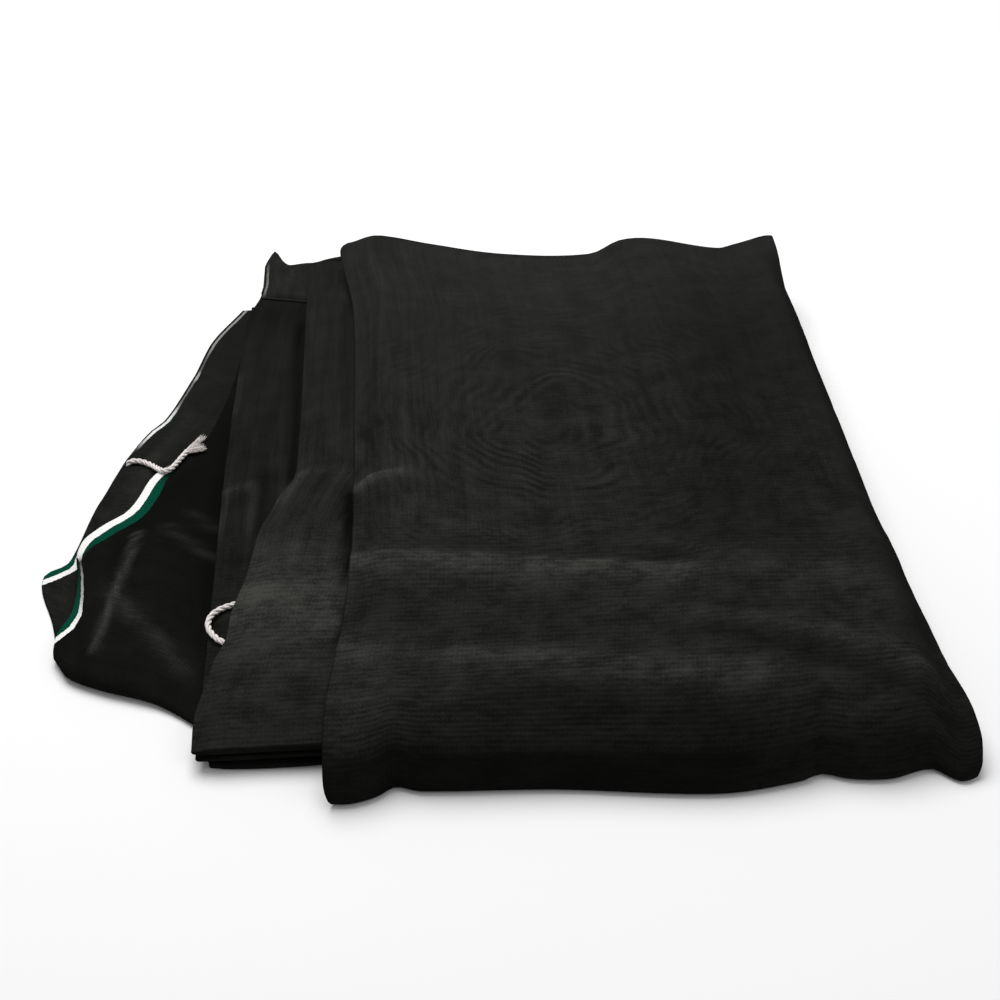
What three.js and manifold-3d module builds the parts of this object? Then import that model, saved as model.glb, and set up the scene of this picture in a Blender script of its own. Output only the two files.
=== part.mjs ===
// A folded olive harvesting net with its tie cord. Millimetres, +Z up, lying on the plane z = 0.
// The net is one long strip folded back and forth, front to back, with its layers a little apart.
import * as THREE from "three";
import Module from "manifold-3d";

// Middle of the net's outline in plan, which is moved to the origin
const PLAN_MIDDLE = { x: -4.25, y: 4.5 };

// Net
const NET_THICKNESS = 2.4; // a pleat of about six plies of fine net
const NET_COLUMNS = 13;
const END_CROWDING = 0.6; // 0 spaces the columns evenly, 1 crowds them most at both edges
const TURN_STEPS = 5;

// The three places along the pad where the layers' heights are given.
const STACK_BACK = 340;
const STACK_FRONT = -300;
const TOP_HEIGHT = 72;

// One row for each layer, from the floor up. back and front are the y of its two ends, left and right its
// edges' x at even stations from back to front, height its middle's z at the back, middle and front, and
// corner a left edge that starts further out at the back: its x, and how far from the back it turns in.
const LAYERS = [
  { // floor layer, whose hem is at the back and whose left edge runs out to a point
    slanted: true, back: 312, steps: 16, height: [1.2, 1.2, 1.2],
    left: [-222, -249, -265, -283, -309, -326, -342, -361, -338], right: [303, 301],
  },
  { // flap that shows at the left, with a wavy edge
    slanted: true, back: 287, steps: 16, height: [9, 10, 4.6],
    left: [
      -210, -214, -217, -220, -223, -229, -240, -250, -271, -284, -297, -324, -333, -326, -324, -331, -333,
    ],
    right: [300, 299],
  },
  {
    back: 287, front: -295, steps: 6, height: [17, 19, 8.2],
    left: [-209, -213, -214, -213, -210], right: [306, 304],
  },
  { // third step from the top at the left
    back: 340, front: -295, steps: 8, height: [26, 29, 12],
    left: [-189, -212, -215.5, -215, -212], right: [302, 303],
  },
  { // layer with the corner that sticks out at the back
    back: 340, front: -297, steps: 13, height: [34, 37, 16],
    left: [-152, -150, -140, -140, -209], right: [308, 307], corner: { left: -192, from: 60, to: 90 },
  },
  { // second step from the top at the left
    back: 327, front: -297, steps: 12, height: [44, 48, 20.2],
    left: [-150, -150, -149.5, -148.5, -148, -164, -188, -205, -215], right: [304, 305],
  },
  {
    back: 327, front: -288, steps: 7, height: [50.2, 53, 28],
    left: [-92, -92, -92, -92, -94], right: [309, 307, 309], corner: { left: -150, from: 2, to: 40 },
  },
  {
    back: 322, front: -288, steps: 6, height: [54.8, 58, 36.5],
    left: [-92, -92, -91, -92, -94], right: [305, 306],
  },
  {
    back: 322, front: -288, steps: 6, height: [59.8, 62, 45],
    left: [-92, -91, -90, -92, -94], right: [309, 307, 309],
  },
  {
    back: 322, front: -288, steps: 6, height: [63.5, 66.5, 53.5],
    left: [-94, -91, -90, -92, -94], right: [306, 307],
  },
  { // top layer, which ends in the drape at the front
    back: 322, front: -270, steps: 24, height: [71, 72, 62],
    left: [-115, -101, -99.5, -99.5, -110], right: [331, 326, 326, 325, 345],
  },
];

// Front edge of the two lowest layers, slanting back towards the left: x, y
const FLAP_FRONT = [
  [-365, -160], [-337, -173], [-320, -200], [-295, -214], [-267, -224], [-247, -236], [-222, -258],
  [-198, -284], [-165, -299], [310, -301],
];
// Rise of the flap where nothing lies on it, between two places across
const FLAP_RISE = { height: 6, fromX: -228, toX: -270 };

// Lift of the floor layer's left margin where the tie comes up through it
const TIE_LIFT = { height: 7.3, y: 38, width: 55, fromX: -254, toX: -292 };

// Flick of the fold between the fourth and fifth layers at its back left corner
const FLICK = { x: -188, y: 340, width: 15, reach: 18, rise: 6 };

// Waves of the pad's back edge at the top: x, how far back the edge lies, and its rise
const BACK_WAVE = [
  [-116, 5, 2], [-83, 6, 4], [-34, -4, -1], [47, -22, -7], [139, -27, -8], [173, -9, -3], [204, -8, -2.5],
  [273, -24, -8], [326, -30, -6],
];
const BACK_WAVE_DEPTH = 150;

// Soft creases in the pad: the ends of each in plan, its height and its half width
const CREASES = [
  { from: [-112, -62], to: [10, -58], height: 3.5, width: 20 },
  { from: [-60, -162], to: [330, -160], height: 3.5, width: 30 },
  { from: [60, -205], to: [330, -228], height: 2.5, width: 20 },
  { from: [-110, -105], to: [300, -112], height: -3, width: 26 },
  { from: [-100, 170], to: [310, 150], height: 2, width: 40 },
];

// Drape at the front of the top layer: y and z down to the floor, then a short tuck lying flat under it.
const DRAPE_TOP = -270;
const DRAPE_FOOT = -341;
const DRAPE = [
  [-283, 61.5], [-296, 58.6], [-308, 54], [-319, 46.5], [-328, 37], [-334, 26.5], [-338, 16], [-340.5, 7.5],
];
const TUCK = [[-341, 4], [-338.5, 1.6], [-334, 1.2], [-324, 1.2], [-314, 1.2]];
// Foot of the drape along the front: x, y
const FRONT_LINE = [
  [-115, -342], [-72, -329], [43, -342], [161, -354], [240, -339], [274, -344], [323, -339], [352, -351],
];
const DRAPE_LEFT_FOOT = -115;
const DRAPE_RIGHT_FOOT = 352;
// Droop of the top layer's right margin, which sets in between two places near the back
const SIDE_DROOP = { fromX: 311, toX: 345, drop: 26, backY: 292, fullY: 222 };

// Tie
const CORD_DIAMETER = 5;
const CORD_STRANDS = 3;
const CORD_LAY = 17; // length of one full twist
const CORD_SIDES = 12;
const CORD_STEP = 2.1;
const CORD_GROOVE = 0.16; // depth of the grooves between strands, as a share of the radius
const CORD_GAP = 0.3;
const TIE_ROUTE = [
  [-306, 50.2, 12.4], [-300.8, 50.6, 12.4], [-295.8, 49.2, 12.4], [-291, 46.6, 12.5], [-286.6, 43, 12.9],
  [-282.8, 38.8, 14], [-279.6, 34, 15.9], [-276.6, 29, 18.4], [-272.6, 25, 20.2], [-267.6, 25.2, 20.4],
  [-264.6, 29.6, 20], [-262.3, 35, 19.6], [-259.9, 41, 19.2], [-257.3, 47.4, 18.7], [-254.7, 54, 18.2],
];
const LOOP_ROUTE = [
  [-176, -152, 26.5], [-183, -154, 26.4], [-190, -156.2, 26.2], [-197, -158.4, 26.1], [-204, -161, 25.9],
  [-210, -164.6, 25.7], [-214.4, -170, 25.4], [-216, -177, 24.9], [-214.6, -184, 24.5], [-211, -190, 24.2],
  [-206, -195.4, 23.9], [-199.5, -199, 23.7], [-192.5, -201.2, 23.6], [-185, -202.4, 23.5],
  [-178, -203, 23.5],
];

// Frayed end: two locks of strands, each row the direction and length of one lock
const FRAY_BACKING_LENGTH = 3;
const FRAY_STRAND = 1.1;
const FRAY_STRANDS = 6; // in each lock
const FRAY_STEPS = 3;
const FRAY_SPREAD = 0.16; // sideways reach of the outer strands, as a share of their length
const FRAY_TIP = 0.4; // thickness at a strand's tip, as a share of its root's
const FRAY_DROOP = 1.5;
const FRAY_UNEVENNESS = 0.15; // how much the strands' lengths vary
const FRAY_LOCKS = [
  { direction: [0.5, 0.86, -0.03], length: 28 },
  { direction: [0.93, 0.36, -0.06], length: 17 },
];

const NET_MATERIAL = new THREE.MeshStandardMaterial({ color: 0x1b1b1d, roughness: 0.75, metalness: 0 });
const CORD_MATERIAL = new THREE.MeshStandardMaterial({ color: 0xd9cfc9, roughness: 0.8, metalness: 0 });

// Rows of the layer table that have a form of their own
const FLOOR = 0;
const FLAP = 1;
const CORNERED = 4;
const FLICKED = [CORNERED - 1, CORNERED];
const TOP = LAYERS.length - 1;
const FLOOR_HEIGHT = LAYERS[FLOOR].height[0];

const lerp = THREE.MathUtils.lerp;

// A smooth curve through points sorted by their first value, read at x for the given column.
function smoothAt(points, x, column = 1) {
  const last = points.length - 1;
  const ascending = points[last][0] > points[0][0] ? 1 : -1;
  let i = 0;
  while (i < last - 1 && (x - points[i + 1][0]) * ascending > 0) i += 1;
  const slope = (a, b) => (points[b][column] - points[a][column]) / (points[b][0] - points[a][0]);
  const width = points[i + 1][0] - points[i][0];
  const t = THREE.MathUtils.clamp((x - points[i][0]) / width, 0, 1);
  const startSlope = slope(Math.max(i - 1, 0), i + 1) * width;
  const endSlope = slope(i, Math.min(i + 2, last)) * width;
  const t2 = t * t;
  const t3 = t2 * t;
  return points[i][column] * (2 * t3 - 3 * t2 + 1) + startSlope * (t3 - 2 * t2 + t)
    + points[i + 1][column] * (3 * t2 - 2 * t3) + endSlope * (t3 - t2);
}

// A smooth curve through values at even stations, read at share t of the way.
function stationAt(values, t) {
  return smoothAt(values.map((value, i) => [i / (values.length - 1), value]), t);
}

function hump(distance, width) {
  return Math.exp(-((distance / width) ** 2));
}

// A layer's left or right edge at share t of the way from back to front.
function edgeAt(layer, side, t) {
  const regular = stationAt(layer[side], t);
  if (side === "right" || !layer.corner) return regular;
  const distance = t * (layer.back - layer.front);
  const turnedIn = THREE.MathUtils.smoothstep(distance, layer.corner.from, layer.corner.to);
  return lerp(layer.corner.left, regular, turnedIn);
}

// Height of a crease at a plan point.
function creaseAt(crease, x, y) {
  const along = new THREE.Vector2(crease.to[0] - crease.from[0], crease.to[1] - crease.from[1]);
  const length = along.length();
  along.divideScalar(length);
  const dx = x - crease.from[0];
  const dy = y - crease.from[1];
  const run = dx * along.x + dy * along.y;
  const past = Math.max(0, -run, run - length);
  return crease.height * hump(-dx * along.y + dy * along.x, crease.width) * hump(past, 2 * crease.width);
}

// Height of the sheet's middle at a plan point of a layer.
function layerHeight(index, x, y) {
  const layer = LAYERS[index];
  const t = (STACK_BACK - y) / (STACK_BACK - STACK_FRONT);
  const [back, middle, front] = layer.height;
  let z = back * (1 - t) * (1 - 2 * t) + middle * 4 * t * (1 - t) + front * t * (2 * t - 1);
  const share = (z - FLOOR_HEIGHT) / TOP_HEIGHT;
  const nearBack = hump(Math.max(0, layer.back - y), BACK_WAVE_DEPTH);
  z += share * smoothAt(BACK_WAVE, x, 2) * nearBack;
  for (const crease of CREASES) z += share * share * creaseAt(crease, x, y);
  if (index === FLOOR) {
    const margin = THREE.MathUtils.smoothstep(-x, -TIE_LIFT.fromX, -TIE_LIFT.toX);
    z += TIE_LIFT.height * margin * hump(y - TIE_LIFT.y, TIE_LIFT.width);
  }
  if (index === FLAP) {
    z += FLAP_RISE.height * THREE.MathUtils.smoothstep(-x, -FLAP_RISE.fromX, -FLAP_RISE.toX);
  }
  if (FLICKED.includes(index)) z += FLICK.rise * hump(Math.hypot(x - FLICK.x, y - FLICK.y), FLICK.width);
  if (index === TOP) {
    const margin = THREE.MathUtils.smoothstep(x, SIDE_DROOP.fromX, SIDE_DROOP.toX);
    z -= SIDE_DROOP.drop * margin * THREE.MathUtils.smoothstep(-y, -SIDE_DROOP.backY, -SIDE_DROOP.fullY);
  }
  return z;
}

// Line of a layer's back end. The two layers that a back fold joins share the line of the upper one.
function backLine(index, u) {
  const upper = index % 2 === 0 ? index : index + 1;
  const layer = LAYERS[upper];
  const x = lerp(edgeAt(layer, "left", 0), edgeAt(layer, "right", 0), u);
  const share = (layer.height[1] - FLOOR_HEIGHT) / TOP_HEIGHT;
  const flick = upper === CORNERED ? FLICK.reach * hump(x - FLICK.x, FLICK.width) : 0;
  return layer.back + share * smoothAt(BACK_WAVE, x) + flick;
}

// A point of a layer: u runs from its left edge to its right one, t from back to front.
function layerPoint(index, u, t) {
  const layer = LAYERS[index];
  const x = lerp(edgeAt(layer, "left", t), edgeAt(layer, "right", t), u);
  const front = layer.slanted ? smoothAt(FLAP_FRONT, x) : layer.front;
  const y = lerp(backLine(index, u), front, t);
  return new THREE.Vector3(x, y, layerHeight(index, x, y));
}

// Shares of the way from one end to the other, crowded at both ends.
function crowdedShares(count, crowding) {
  const shares = [];
  for (let i = 0; i <= count; i += 1) {
    const even = i / count;
    shares.push(even - (crowding / (2 * Math.PI)) * Math.sin(2 * Math.PI * even));
  }
  return shares;
}

// The half-round turn from the end of one layer to the start of the next.
function turnRows(from, to, outward) {
  const rows = [];
  for (let step = 1; step < TURN_STEPS; step += 1) {
    const angle = (Math.PI * step) / TURN_STEPS;
    const share = (1 - Math.cos(angle)) / 2;
    rows.push(from.map((start, i) => {
      const point = start.clone().lerp(to[i], share);
      point.y += outward * 0.5 * Math.abs(to[i].z - start.z) * Math.sin(angle);
      return point;
    }));
  }
  return rows;
}

// The rows of the drape, from the top layer's front down to the floor and under.
function drapeRows(shares) {
  const profile = [...DRAPE, ...TUCK];
  return profile.map(([y, z]) => shares.map((u) => {
    const fall = THREE.MathUtils.clamp((DRAPE_TOP - y) / (DRAPE_TOP - DRAPE_FOOT), 0, 1);
    const left = lerp(edgeAt(LAYERS[TOP], "left", 1), DRAPE_LEFT_FOOT, fall);
    const right = lerp(edgeAt(LAYERS[TOP], "right", 1), DRAPE_RIGHT_FOOT, fall);
    const x = lerp(left, right, u);
    const reach = (smoothAt(FRONT_LINE, x) - DRAPE_TOP) / (DRAPE_FOOT - DRAPE_TOP);
    const lowest = TUCK[TUCK.length - 1][1];
    const share = (z - lowest) / (DRAPE[0][1] - lowest);
    const droop = layerHeight(TOP, x, DRAPE_TOP) - layerHeight(TOP, 0, DRAPE_TOP);
    return new THREE.Vector3(x, DRAPE_TOP + (y - DRAPE_TOP) * reach, z + droop * share);
  }));
}

// All rows of the strip, from the hem on the floor to the tuck at the front.
function netRows() {
  const shares = crowdedShares(NET_COLUMNS, END_CROWDING);
  const rows = [];
  LAYERS.forEach((layer, index) => {
    const forward = index % 2 === 0;
    const hidden = index !== FLOOR && index !== FLAP && index !== TOP;
    const places = crowdedShares(layer.steps, hidden ? END_CROWDING : 0);
    if (!forward) places.reverse();
    const layerRows = places.map((t) => shares.map((u) => layerPoint(index, u, t)));
    if (index > 0) rows.push(...turnRows(rows[rows.length - 1], layerRows[0], forward ? 1 : -1));
    rows.push(...layerRows);
  });
  rows.push(...drapeRows(shares));
  return rows;
}

// A closed sheet of even thickness about a grid of points.
function closedSheet(rows, thickness) {
  const columns = rows[0].length;
  const within = (i, count) => THREE.MathUtils.clamp(i, 0, count - 1);
  const at = (r, c) => rows[within(r, rows.length)][within(c, columns)];
  const normal = (r, c) => {
    const across = at(r, c + 1).clone().sub(at(r, c - 1));
    const along = at(r + 1, c).clone().sub(at(r - 1, c));
    return across.cross(along).normalize();
  };
  const positions = [];
  for (const side of [0.5, -0.5]) {
    rows.forEach((row, r) => row.forEach((point, c) => {
      positions.push(...point.clone().addScaledVector(normal(r, c), side * thickness).toArray());
    }));
  }
  const indices = [];
  const count = rows.length * columns;
  const quad = (a, b, c, d) => indices.push(a, b, c, a, c, d);
  const top = (r, c) => r * columns + c;
  const bottom = (r, c) => count + r * columns + c;
  for (let r = 0; r < rows.length - 1; r += 1) {
    for (let c = 0; c < columns - 1; c += 1) {
      quad(top(r, c), top(r, c + 1), top(r + 1, c + 1), top(r + 1, c));
      quad(bottom(r, c), bottom(r + 1, c), bottom(r + 1, c + 1), bottom(r, c + 1));
    }
    quad(top(r, 0), top(r + 1, 0), bottom(r + 1, 0), bottom(r, 0));
    quad(top(r, columns - 1), bottom(r, columns - 1), bottom(r + 1, columns - 1), top(r + 1, columns - 1));
  }
  for (let c = 0; c < columns - 1; c += 1) {
    const end = rows.length - 1;
    quad(top(0, c), bottom(0, c), bottom(0, c + 1), top(0, c + 1));
    quad(top(end, c), top(end, c + 1), bottom(end, c + 1), bottom(end, c));
  }
  return indexedGeometry(positions, indices);
}

function indexedGeometry(positions, indices) {
  const geometry = new THREE.BufferGeometry();
  geometry.setAttribute("position", new THREE.Float32BufferAttribute(positions, 3));
  geometry.setIndex(indices);
  geometry.computeVertexNormals();
  return geometry;
}

// A closed loft of rings of points with a fan at each end.
function closedLoft(rings) {
  const sides = rings[0].length;
  const positions = rings.flat().flatMap((point) => point.toArray());
  const indices = [];
  for (let r = 0; r < rings.length - 1; r += 1) {
    for (let i = 0; i < sides; i += 1) {
      const a = r * sides + i;
      const b = r * sides + ((i + 1) % sides);
      indices.push(a, b, b + sides, a, b + sides, a + sides);
    }
  }
  const lastRing = (rings.length - 1) * sides;
  for (let i = 1; i < sides - 1; i += 1) {
    indices.push(0, i + 1, i);
    indices.push(lastRing, lastRing + i, lastRing + i + 1);
  }
  return indexedGeometry(positions, indices);
}

function routeCurve(route) {
  return new THREE.CatmullRomCurve3(route.map((point) => new THREE.Vector3(...point)), false, "centripetal");
}

// A ring of a cord's section about a point: lobed where the strands are, turned by the twist.
function cordRing(centre, side, up, twist) {
  const ring = [];
  for (let i = 0; i < CORD_SIDES; i += 1) {
    const angle = (2 * Math.PI * i) / CORD_SIDES;
    const groove = 0.5 - 0.5 * Math.cos(CORD_STRANDS * angle);
    const radius = 0.5 * CORD_DIAMETER * (1 - CORD_GROOVE * groove);
    const point = centre.clone();
    point.addScaledVector(side, radius * Math.cos(angle + twist));
    point.addScaledVector(up, radius * Math.sin(angle + twist));
    ring.push(point);
  }
  return ring;
}

// A twisted cord along a route.
function twistedCord(route) {
  const curve = routeCurve(route);
  const length = curve.getLength();
  const steps = Math.round(length / CORD_STEP);
  const frames = curve.computeFrenetFrames(steps, false);
  const rings = [];
  for (let step = 0; step <= steps; step += 1) {
    const twist = (2 * Math.PI * length * step) / (steps * CORD_LAY);
    rings.push(cordRing(curve.getPointAt(step / steps), frames.normals[step], frames.binormals[step], twist));
  }
  return closedLoft(rings);
}

// A thin strand of four sides that narrows to its tip and bends down a little as it goes.
function frayStrand(root, direction, length) {
  const side = new THREE.Vector3(-direction.y, direction.x, 0).normalize();
  const up = direction.clone().cross(side).normalize();
  const rings = [];
  for (let step = 0; step <= FRAY_STEPS; step += 1) {
    const share = step / FRAY_STEPS;
    const half = 0.5 * FRAY_STRAND * lerp(1, FRAY_TIP, share);
    const centre = root.clone().addScaledVector(direction, length * share);
    centre.z -= FRAY_DROOP * share * share;
    rings.push([[1, 0], [0, 1], [-1, 0], [0, -1]].map(([a, b]) => (
      centre.clone().addScaledVector(side, a * half).addScaledVector(up, b * half)
    )));
  }
  return closedLoft(rings);
}

function toManifold(wasm, geometry) {
  const vertProperties = new Float32Array(geometry.attributes.position.array);
  const triVerts = new Uint32Array(geometry.index.array);
  return new wasm.Manifold(new wasm.Mesh({ numProp: 3, vertProperties, triVerts }));
}

// The frayed end: a short backing with its locks of strands joined to it at their roots.
function frayedEnd(wasm, route) {
  const curve = routeCurve(route);
  const tangent = curve.getTangentAt(1);
  const start = curve.getPointAt(1).addScaledVector(tangent, CORD_GAP);
  const side = new THREE.Vector3(-tangent.y, tangent.x, 0).normalize();
  const up = tangent.clone().cross(side).normalize();
  const ends = [start, start.clone().addScaledVector(tangent, FRAY_BACKING_LENGTH)];
  let solid = toManifold(wasm, closedLoft(ends.map((centre) => cordRing(centre, side, up, 0))));
  const middle = start.clone().addScaledVector(tangent, 0.5 * FRAY_BACKING_LENGTH);
  for (const lock of FRAY_LOCKS) {
    for (let i = 0; i < FRAY_STRANDS; i += 1) {
      const fan = i / (FRAY_STRANDS - 1) - 0.5;
      const direction = new THREE.Vector3(...lock.direction);
      direction.addScaledVector(side, FRAY_SPREAD * fan).normalize();
      const root = middle.clone().addScaledVector(side, 0.5 * CORD_DIAMETER * fan);
      root.z += 0.25 * CORD_DIAMETER * Math.cos(2 * i);
      const length = lock.length * (1 - FRAY_UNEVENNESS * (1 - Math.cos(3 * i)));
      solid = solid.add(toManifold(wasm, frayStrand(root, direction, length)));
    }
  }
  const mesh = solid.getMesh();
  return indexedGeometry(Array.from(mesh.vertProperties), Array.from(mesh.triVerts));
}

function namedMesh(name, geometry, material) {
  const mesh = new THREE.Mesh(geometry, material);
  mesh.name = name;
  return mesh;
}

const wasm = await Module();
wasm.setup();

const foldedNet = new THREE.Group();
foldedNet.add(namedMesh("net", closedSheet(netRows(), NET_THICKNESS), NET_MATERIAL));
foldedNet.add(namedMesh("tie_cord", twistedCord(TIE_ROUTE), CORD_MATERIAL.clone()));
foldedNet.add(namedMesh("tie_fray", frayedEnd(wasm, TIE_ROUTE), CORD_MATERIAL.clone()));
foldedNet.add(namedMesh("tie_loop", twistedCord(LOOP_ROUTE), CORD_MATERIAL.clone()));
foldedNet.position.set(-PLAN_MIDDLE.x, -PLAN_MIDDLE.y, 0);

export default foldedNet;
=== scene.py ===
"""Looks of a folded harvesting net with its tie cord and cord loop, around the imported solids.

The net is one strip folded back and forth, front to back. Its layers, folds and drape are those of the
solids, on a finer grid. Some edges are closer to the photograph's, and small creases and ripples are added.
"""

import math

import bpy
import numpy as np
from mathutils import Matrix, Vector


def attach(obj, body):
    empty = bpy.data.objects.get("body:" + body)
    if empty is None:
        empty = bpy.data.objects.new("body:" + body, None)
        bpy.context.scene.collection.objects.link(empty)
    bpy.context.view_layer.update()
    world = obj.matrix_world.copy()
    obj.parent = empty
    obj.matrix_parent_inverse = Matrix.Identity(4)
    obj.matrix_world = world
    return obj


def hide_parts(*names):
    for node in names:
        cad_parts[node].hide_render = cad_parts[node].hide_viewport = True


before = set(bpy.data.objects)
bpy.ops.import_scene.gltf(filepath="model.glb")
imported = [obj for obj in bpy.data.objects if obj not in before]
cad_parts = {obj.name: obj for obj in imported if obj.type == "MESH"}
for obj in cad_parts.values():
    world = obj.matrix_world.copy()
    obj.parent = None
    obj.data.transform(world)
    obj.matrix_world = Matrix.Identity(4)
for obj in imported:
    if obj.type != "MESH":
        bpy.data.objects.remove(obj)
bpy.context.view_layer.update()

MM = 0.001
UP = (0.0, 0.0, 1.0)
TINY = 1e-9  # keeps a division away from zero

# Middle of the net's outline in plan, in the tables' millimetres, which lies at the origin
PLAN_MIDDLE = np.array([-4.25, 4.5, 0.0])

# Camera
CAMERA_PLACE = (-0.03925, -1.0275, 0.85)
CAMERA_HEADING = 3.93  # degrees from +Y towards +X
CAMERA_PITCH = 40.0  # degrees below level
CAMERA_LENS = 53.35  # millimetres, as the sensor's width is
CAMERA_SENSOR = 36.0

# Cords, in metres. Their routes, in millimetres, are the solids' with the hidden ends run on a little.
CORD_DIAMETER = 0.005
CORD_STRANDS = 3
CORD_LAY = 0.017  # length of one turn of the strands
CORD_STEP = 0.0007
ROUTE_STEPS = 24  # points for each stretch of a route
STRAND_SIDES = 12
STRAND_SHARE = 0.45  # a strand's share of the rope's diameter
TIE_ROUTE = [
    (-309.2, 49.7, 5.2), (-308.4, 49.9, 9.2), (-306, 50.2, 12.1), (-300.8, 50.6, 12.4),
    (-295.8, 49.2, 12.4), (-291, 46.6, 12.5), (-286.6, 43, 12.9), (-282.8, 38.8, 14), (-279.6, 34, 15.9),
    (-276.6, 29, 18.4), (-272.6, 25, 20.2), (-267.6, 25.2, 20.4), (-264.6, 29.6, 20), (-262.3, 35, 19.6),
    (-259.9, 41, 19.2), (-257.3, 47.4, 18.7), (-254.7, 54, 18.2),
]
LOOP_ROUTE = [
    (-172, -151, 26.6), (-176, -152, 26.5), (-183, -154, 26.4), (-190, -156.2, 26.2), (-197, -158.4, 26.1),
    (-204, -161, 25.9), (-210, -164.6, 25.7), (-214.4, -170, 25.4), (-216, -177, 24.9),
    (-214.6, -184, 24.5), (-211, -190, 24.2), (-206, -195.4, 23.9), (-199.5, -199, 23.7),
    (-192.5, -201.2, 23.6), (-185, -202.4, 23.5), (-178, -203, 23.5), (-174, -203.2, 23.5),
]

# Frayed end of the tie: each lock's direction, length, fibres and width at its tip, in metres
FRAY_LOCKS = [
    ((0.44, 0.90, -0.05), 0.030, 90, 0.0034), ((0.82, 0.57, -0.09), 0.0185, 70, 0.0032),
    ((0.64, 0.77, -0.07), 0.019, 26, 0.0026),
]
FRAY_SEED = 7
FRAY_END = 4  # last points, which give the rope's direction
FRAY_ROOT = 0.4  # width at the roots, as a share of the cord's diameter
FRAY_BEND = 2.5  # how soon a fibre bends to its lock's direction
FRAY_OPENING = 1.3  # power by which a lock opens
FRAY_LOWEST = 0.0148  # on the net
FIBRE_RADIUS = 0.00014
FIBRE_TAPER = (1.2, 0.6)  # shares of the radius at root and tip
FIBRE_STEPS = 7
FIBRE_SIDES = 4
FIBRE_ROOT = 0.003  # length inside the rope
FIBRE_LENGTHS = (0.72, 1.0)  # range of shares of a lock's length
FIBRE_WAVE = 0.0005
FIBRE_WAVES = (5, 9)  # range of radians of wave
FIBRE_SAG = 0.0018

# Net, in millimetres. A pair of places is where something begins and where it is full.
SHEET = 2.2  # thickness
COLUMNS = 76
COLUMN_CROWDING = 0.55  # 0 spaces them evenly, 1 crowds them most at both edges
ROW_CROWDING = 0.25  # of layers that state none
HIDDEN_ROWS = 20  # a layer with fewer rows of faces is hidden between others
TURN_STEPS = 8
RIM_STEPS = 4
STACK_BACK = 340
STACK_FRONT = -300
TOP_HEIGHT = 72
FLOOR, FLAP, THIRD, CORNERED, SECOND, PAD_BASE, TOP = 0, 1, 3, 4, 5, 6, 10
NO_LAYER = -1  # of turns and of the drape

# One row for each layer, from the floor up. back and front are the y of its ends, and one with no front ends
# at SLANTED_FRONT. left and right are its edges' x at even steps from back to front, and left_line its left
# edge as y and x instead. height is its middle's z at the back, middle and front. rows are its rows of
# faces, which crowding moves towards both ends, or below zero towards the middle. puff is its thickness at
# the right edge, where its plies are folded round, and tone how much lighter or darker it is painted, as
# painted light and shade for the light that reaches that layer.
LAYERS = [
    {"back": 312, "rows": 76, "height": [1.2, 1.2, 1.2], "puff": 2.2, "tone": -0.3,
     "left_line": [(312, -222), (257, -248), (191, -263), (122, -284), (106, -295), (70, -307), (24, -319),
                   (-10, -330), (-68, -342), (-77, -347), (-86, -361), (-107, -360), (-144, -346),
                   (-180, -337)],
     "right": [303, 301]},
    {"back": 287, "rows": 76, "height": [9, 10, 4.6], "puff": 5, "tone": -0.8,
     "left_line": [(287, -210), (165, -221), (110, -231), (76, -240), (50, -256), (27, -277), (15, -284),
                   (-13, -292), (-28, -300), (-40, -314), (-54, -327), (-70, -333), (-84, -333), (-104, -329),
                   (-130, -327), (-148, -328), (-162, -333), (-172, -336), (-190, -336)],
     "right": [300, 299]},
    {"back": 287, "front": -302, "rows": 12, "crowding": 0.6, "height": [17, 19, 8.2], "puff": 6,
     "tone": -0.4, "left": [-209, -213, -214, -214, -214], "right": [306, 304]},
    {"back": 340, "front": -302, "rows": 64, "crowding": -0.4, "height": [26, 29, 12], "puff": 6,
     "tone": -0.36,
     "left_line": [(344, -189), (300, -197), (265, -207), (240, -210), (180, -212.5), (20, -215.5),
                   (-140, -215), (-302, -216)],
     "right": [302, 303]},
    {"back": 340, "front": -302, "rows": 48, "crowding": 0.7, "height": [34, 37, 16], "puff": 5.5,
     "left_line": [(344, -189), (328, -196.5), (302, -198), (289, -198.5), (283.5, -175), (278.5, -150.5),
                   (265, -149), (20, -140), (-140, -140), (-302, -214)],
     "right": [308, 307]},
    {"back": 327, "front": -302, "rows": 56, "height": [44, 48, 20.2], "puff": 5, "tone": -0.12,
     "left_line": [(327, -150), (120, -149), (-6, -150), (-26, -152), (-40, -161), (-57, -167), (-85, -178),
                   (-110, -182), (-140, -187), (-176, -196), (-204, -199), (-216, -205), (-250, -213),
                   (-272, -218), (-302, -218)],
     "right": [304, 305]},
    {"back": 327, "front": -288, "rows": 16, "crowding": 0.6, "height": [50.2, 53, 28], "puff": 3.6,
     "left_line": [(327, -112), (318, -88), (309, -66), (-130, -64), (-288, -68)], "right": [309, 307, 309]},
    {"back": 322, "front": -288, "rows": 10, "crowding": 0.6, "height": [54.8, 58, 36.5], "puff": 3.2,
     "left": [-66, -64, -63, -64, -68], "right": [305, 306]},
    {"back": 322, "front": -288, "rows": 10, "crowding": 0.6, "height": [59.8, 62, 45], "puff": 3,
     "left": [-68, -64, -62, -64, -70], "right": [309, 307, 309]},
    {"back": 322, "front": -288, "rows": 10, "crowding": 0.6, "height": [63.5, 66.5, 53.5], "puff": 3,
     "left": [-70, -66, -64, -66, -72], "right": [306, 307]},
    {"back": 322, "front": -270, "rows": 108, "height": [71, 72, 62], "puff": 2.2,
     "left_line": [(329, -108), (323, -114), (312, -115), (296, -113), (217, -102), (51, -100), (-137, -100),
                   (-205, -105), (-270, -114)],
     "right": [331, 326, 326, 331, 345]},
]
PUFF_REACH = 24
EDGE_TAPER = {"layer": CORNERED, "share": 0.5, "reach": 16}  # a thinner left edge

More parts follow.
